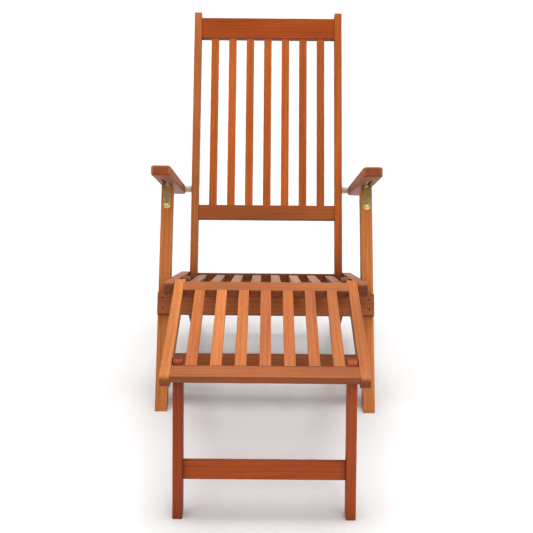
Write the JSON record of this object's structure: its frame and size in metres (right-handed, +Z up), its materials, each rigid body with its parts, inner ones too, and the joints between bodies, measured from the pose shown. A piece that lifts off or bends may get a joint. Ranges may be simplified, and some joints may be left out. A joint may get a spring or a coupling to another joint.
{
  "type": "folding deck chair",
  "caption": "Slatted hardwood folding deck chair with reclined back, sloping armrests on hooked front legs, and a folding footrest on its own legs.",
  "frame": {"origin": "on the ground, at the middle of the whole chair's footprint box", "axes": "+Y from the footrest towards the backrest, +Z up, +X to the sitter's left"},
  "size_m": [0.565, 1.4036, 0.8942],
  "materials": {
    "oiled_hardwood": "oiled, satin, straight grain",
    "brass": "satin, slightly dulled",
    "zinc_steel": "zinc plated",
    "pale_nylon": "matte"
  },
  "bodies": {
    "seat": {"seat_front_rail": "oiled_hardwood", "seat_pivot_bolts": "zinc_steel", "seat_pivot_nuts": "zinc_steel", "seat_pivot_washers": "pale_nylon", "seat_rail_left": "oiled_hardwood", "seat_rail_right": "oiled_hardwood", "seat_rear_rail": "oiled_hardwood", "seat_slat_1": "oiled_hardwood", "seat_slat_2": "oiled_hardwood", "seat_slat_3": "oiled_hardwood", "seat_slat_4": "oiled_hardwood", "seat_slat_5": "oiled_hardwood", "seat_slat_6": "oiled_hardwood", "seat_slat_7": "oiled_hardwood", "seat_slat_8": "oiled_hardwood"},
    "backrest": {"armrest_pivot_bolts": "zinc_steel", "armrest_pivot_nuts": "zinc_steel", "armrest_spacers": "pale_nylon", "backrest_bottom_rail": "oiled_hardwood", "backrest_slat_1": "oiled_hardwood", "backrest_slat_2": "oiled_hardwood", "backrest_slat_3": "oiled_hardwood", "backrest_slat_4": "oiled_hardwood", "backrest_slat_5": "oiled_hardwood", "backrest_slat_6": "oiled_hardwood", "backrest_slat_7": "oiled_hardwood", "backrest_stile_left": "oiled_hardwood", "backrest_stile_right": "oiled_hardwood", "backrest_top_rail": "oiled_hardwood"},
    "left_armrest": {"armrest_left": "oiled_hardwood", "armrest_rack_left": "zinc_steel"},
    "right_armrest": {"armrest_rack_right": "zinc_steel", "armrest_right": "oiled_hardwood"},
    "front_legs": {"front_leg_left": "oiled_hardwood", "front_leg_lower_rail": "oiled_hardwood", "front_leg_rail_screws": "zinc_steel", "front_leg_right": "oiled_hardwood", "front_leg_upper_rail": "oiled_hardwood", "hook_strap_left": "brass", "hook_strap_right": "brass", "hook_strap_screws": "brass"},
    "rear_legs": {"rear_leg_left": "oiled_hardwood", "rear_leg_rail": "oiled_hardwood", "rear_leg_right": "oiled_hardwood"},
    "footrest": {"footrest_front_rail": "oiled_hardwood", "footrest_leg_bolts": "zinc_steel", "footrest_leg_nuts": "zinc_steel", "footrest_rail_left": "oiled_hardwood", "footrest_rail_right": "oiled_hardwood", "footrest_rear_rail": "oiled_hardwood", "footrest_slat_1": "oiled_hardwood", "footrest_slat_2": "oiled_hardwood", "footrest_slat_3": "oiled_hardwood", "footrest_slat_4": "oiled_hardwood", "footrest_slat_5": "oiled_hardwood", "footrest_slat_6": "oiled_hardwood", "footrest_slat_7": "oiled_hardwood"},
    "footrest_legs": {"footrest_leg_left": "oiled_hardwood", "footrest_leg_right": "oiled_hardwood", "footrest_leg_stretcher": "oiled_hardwood"}
  },
  "joints": [
    {"name": "backrest_fold", "type": "hinge", "parent": "seat", "child": "backrest", "pos_m": [0, 0.3185, 0.18729], "axis": [1, 0, 0], "range_deg": [0, 86]},
    {"name": "front_legs_fold", "type": "hinge", "parent": "seat", "child": "front_legs", "pos_m": [0, 0.02228, 0.27167], "axis": [1, 0, 0], "range_deg": [0, 86]},
    {"name": "rear_legs_fold", "type": "hinge", "parent": "seat", "child": "rear_legs", "pos_m": [0, 0.02228, 0.27167], "axis": [1, 0, 0], "range_deg": [0, 8.6]},
    {"name": "left_armrest_turn", "type": "hinge", "parent": "backrest", "child": "left_armrest", "pos_m": [0, 0.43935, 0.41749], "axis": [1, 0, 0], "range_deg": [-94.6, 0]},
    {"name": "right_armrest_turn", "type": "hinge", "parent": "backrest", "child": "right_armrest", "pos_m": [0, 0.43935, 0.41749], "axis": [1, 0, 0], "range_deg": [-94.6, 0]},
    {"name": "footrest_swing", "type": "hinge", "parent": "seat", "child": "footrest", "pos_m": [0, -0.19123, 0.33977], "axis": [1, 0, 0], "range_deg": [-15, 55]},
    {"name": "footrest_legs_fold", "type": "hinge", "parent": "footrest", "child": "footrest_legs", "pos_m": [0, -0.60675, 0.30322], "axis": [1, 0, 0], "range_deg": [0, 95]}
  ],
  "couplings": [
    {"joint": "front_legs_fold", "follows": "backrest_fold", "ratio": 1},
    {"joint": "rear_legs_fold", "follows": "backrest_fold", "ratio": 0.1},
    {"joint": "left_armrest_turn", "follows": "backrest_fold", "ratio": -1.1},
    {"joint": "right_armrest_turn", "follows": "backrest_fold", "ratio": -1.1}
  ]
}
